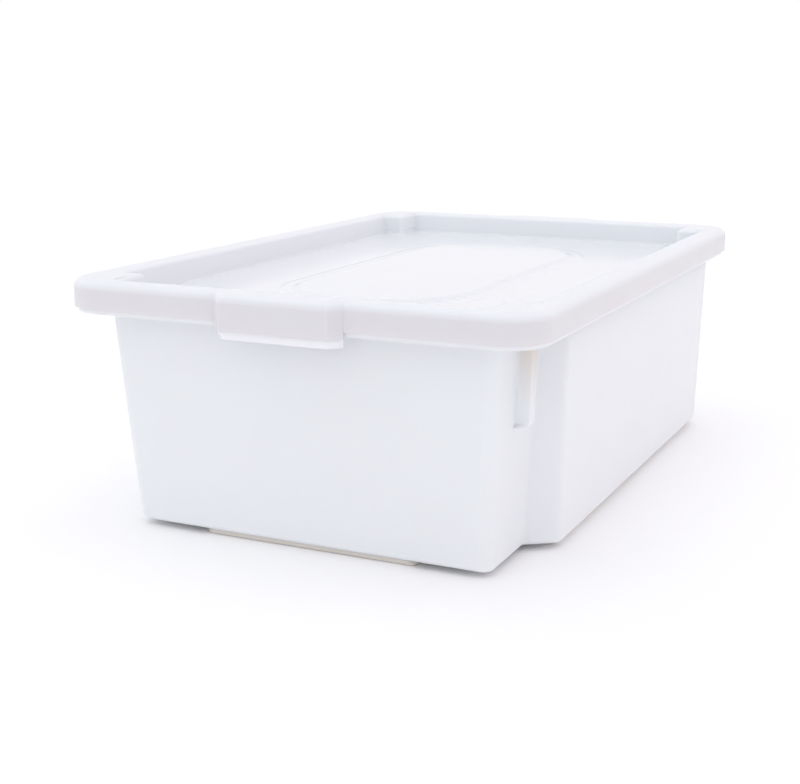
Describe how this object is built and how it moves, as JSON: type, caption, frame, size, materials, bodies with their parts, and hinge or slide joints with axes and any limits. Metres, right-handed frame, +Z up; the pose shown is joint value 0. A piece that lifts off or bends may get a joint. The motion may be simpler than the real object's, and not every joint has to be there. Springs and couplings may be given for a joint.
{
  "type": "stacking storage crate",
  "caption": "Stacking plastic storage crate with a stepped, drafted tub, an overhanging rim and a recessed lift-off lid.",
  "frame": {"origin": "centre of the crate's footprint, on the surface it stands on", "axes": "+Z up, +Y along the length towards the end where the rim overhangs most, +X across the width"},
  "size_m": [0.413, 0.645, 0.2125],
  "materials": {
    "tub_plastic": "satin moulded natural white polypropylene, slightly translucent",
    "lid_plastic": "glossy moulded natural white polypropylene, slightly translucent"
  },
  "bodies": {
    "tub": {"tub": "tub_plastic"},
    "lid": {"lid": "lid_plastic"}
  },
  "joints": [
    {"name": "lid_lift", "type": "slide", "parent": "tub", "child": "lid", "axis": [0, 0, 1], "range_m": [0, 0.15]}
  ]
}
